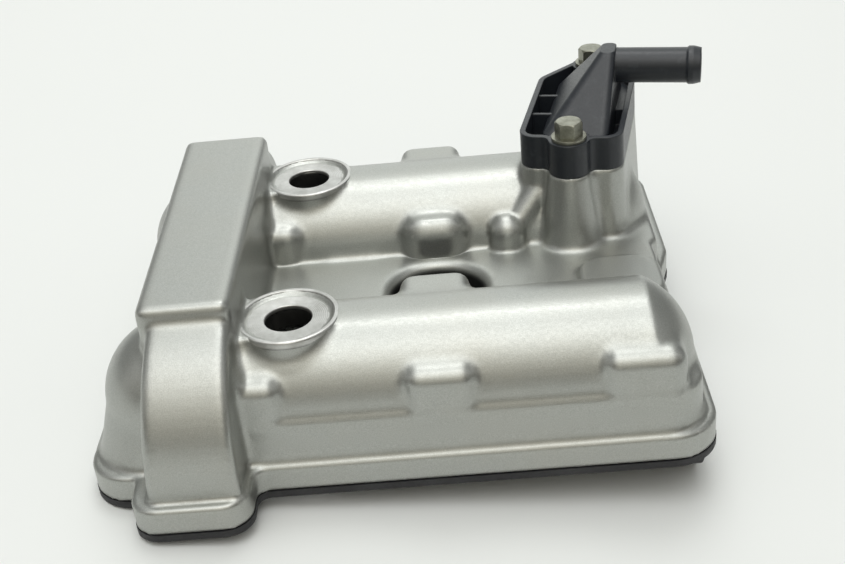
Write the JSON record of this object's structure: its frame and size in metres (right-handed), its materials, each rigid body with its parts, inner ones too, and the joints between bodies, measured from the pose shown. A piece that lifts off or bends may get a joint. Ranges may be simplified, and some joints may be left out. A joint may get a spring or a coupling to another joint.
{
  "type": "engine valve cover",
  "caption": "Die-cast twin-cam cylinder head cover with half-round cam barrels, a chain tunnel, a spark plug well, rubber gaskets and a bolted air valve cap with a hose nipple.",
  "frame": {"origin": "spark plug bore axis at the sealing face of the casting", "axes": "+X along the camshafts away from the chain tunnel, +Y towards the air valve cap, +Z out of the engine"},
  "size_m": [0.2014, 0.1874, 0.094],
  "materials": {
    "cast_metal": "satin silver-grey metallic paint on a die casting",
    "black_rubber": "matte",
    "black_plastic": "satin moulded nylon",
    "zinc_steel": "olive zinc plating",
    "plain_steel": "plain steel",
    "plate_metal": "machined plate",
    "spring_steel": "thin spring steel"
  },
  "bodies": {
    "cover": {"cover_casting": "cast_metal", "perimeter_gasket": "black_rubber", "plug_hole_gasket": "black_rubber", "air_port_seal": "black_rubber", "reed_cover": "black_plastic", "reed_cover_bolts": "zinc_steel", "reed_cover_washers": "zinc_steel", "reed_cover_sleeves": "plain_steel", "reed_seat": "plate_metal", "reed_seal": "black_rubber", "reed_stopper": "plain_steel", "reed_screws": "plain_steel"},
    "petal": {"reed_petal": "spring_steel"}
  },
  "joints": [
    {"name": "petal_flex", "type": "hinge", "parent": "cover", "child": "petal", "pos_m": [0.05445, 0.0581, 0.04555], "axis": [-0.9736, 0.2284, 0], "range_deg": [0, 7], "stiffness_Nm_per_rad": 0.02, "springref_deg": -1.72}
  ]
}
